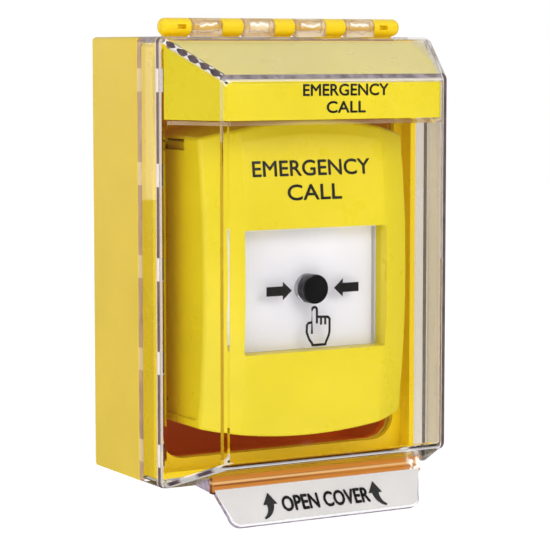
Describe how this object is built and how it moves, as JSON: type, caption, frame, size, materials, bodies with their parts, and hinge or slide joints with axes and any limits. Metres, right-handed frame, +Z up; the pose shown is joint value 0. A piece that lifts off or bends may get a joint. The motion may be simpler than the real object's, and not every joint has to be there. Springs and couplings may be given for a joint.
{
  "type": "manual call point",
  "caption": "Yellow resettable manual call point in a surface-mounted back box, under a clear hinged cover with a label hood and a lift tab.",
  "frame": {"origin": "middle of the back box's rear face, which lies on the wall", "axes": "+Y into the wall, +Z up, +X to the right seen from the front; the front faces -Y"},
  "size_m": [0.13, 0.0944, 0.2051],
  "materials": {
    "box_yellow": "satin moulded plastic",
    "bright_yellow": "semi-gloss moulded plastic",
    "call_point_yellow": "semi-gloss moulded plastic",
    "clear_polycarbonate": "clear moulded polycarbonate",
    "clear_window": "clear acrylic",
    "label_white": "printed vinyl",
    "plate_white": "matt moulded plastic",
    "button_black": "gloss black",
    "flag_yellow": "striped print on plastic",
    "gasket_rubber": "closed-cell foam",
    "chassis_grey": "matt",
    "switch_black": "matt",
    "board_green": "solder mask",
    "steel": "zinc plated"
  },
  "bodies": {
    "enclosure": {"back_box": "box_yellow", "conduit_plug": "box_yellow", "box_gasket": "gasket_rubber", "cover_frame": "bright_yellow", "frame_screw_1": "steel", "frame_screw_2": "steel", "frame_screw_3": "steel", "frame_screw_4": "steel", "hinge_pin": "steel", "call_point_base": "call_point_yellow", "base_screw_1": "steel", "base_screw_2": "steel", "base_screw_3": "steel", "base_screw_4": "steel", "call_point_housing": "call_point_yellow", "chassis_plate": "chassis_grey", "chassis_screw_1": "steel", "chassis_screw_2": "steel", "chassis_screw_3": "steel", "chassis_screw_4": "steel", "circuit_board": "board_green", "board_screw_1": "steel", "board_screw_2": "steel", "terminal_block": "chassis_grey", "terminal_screw_1": "steel", "terminal_screw_2": "steel", "terminal_screw_3": "steel", "terminal_screw_4": "steel", "left_micro_switch": "switch_black", "right_micro_switch": "switch_black", "trip_pin": "steel"},
    "cover": {"clear_cover": "clear_polycarbonate", "label_hood": "bright_yellow", "tab_label": "label_white"},
    "button": {"operating_window": "clear_window", "white_plate": "plate_white", "push_button": "button_black", "button_stem": "clear_window", "plunger": "plate_white", "return_spring": "steel"},
    "flag": {"indicator_flag": "flag_yellow"},
    "left_lever": {"left_switch_lever": "steel"},
    "right_lever": {"right_switch_lever": "steel"},
    "trip": {"trip_lever": "steel"},
    "reset": {"reset_slider": "switch_black"}
  },
  "joints": [
    {"name": "cover_hinge", "type": "hinge", "parent": "enclosure", "child": "cover", "pos_m": [0, -0.048, 0.0956], "axis": [-1, 0, 0], "range_deg": [0, 100]},
    {"name": "button_press", "type": "slide", "parent": "enclosure", "child": "button", "axis": [0, 1, 0], "range_m": [0, 0.003], "stiffness_N_per_m": 800, "springref_m": -0.005, "deforming": ["return_spring"]},
    {"name": "flag_drop", "type": "slide", "parent": "button", "child": "flag", "axis": [0, 0, -1], "range_m": [0, 0.008]},
    {"name": "left_lever_press", "type": "hinge", "parent": "enclosure", "child": "left_lever", "pos_m": [-0.024, -0.0499, -0.01185], "axis": [0, 0, 1], "range_deg": [0, 14.5]},
    {"name": "right_lever_press", "type": "hinge", "parent": "enclosure", "child": "right_lever", "pos_m": [0.024, -0.0499, -0.01185], "axis": [0, 0, -1], "range_deg": [0, 14.5]},
    {"name": "trip_swing", "type": "hinge", "parent": "enclosure", "child": "trip", "pos_m": [0, -0.0487, 0.008], "axis": [1, 0, 0], "range_deg": [0, 9.5]},
    {"name": "reset_slide", "type": "slide", "parent": "enclosure", "child": "reset", "axis": [1, 0, 0], "range_m": [0, 0.004], "stiffness_N_per_m": 300, "springref_m": -0.004}
  ],
  "couplings": [
    {"joint": "flag_drop", "follows": "button_press", "ratio": 2.6667},
    {"joint": "left_lever_press", "follows": "button_press", "rad_per_m": 80},
    {"joint": "right_lever_press", "follows": "button_press", "rad_per_m": 80},
    {"joint": "trip_swing", "follows": "button_press", "rad_per_m": 52}
  ]
}
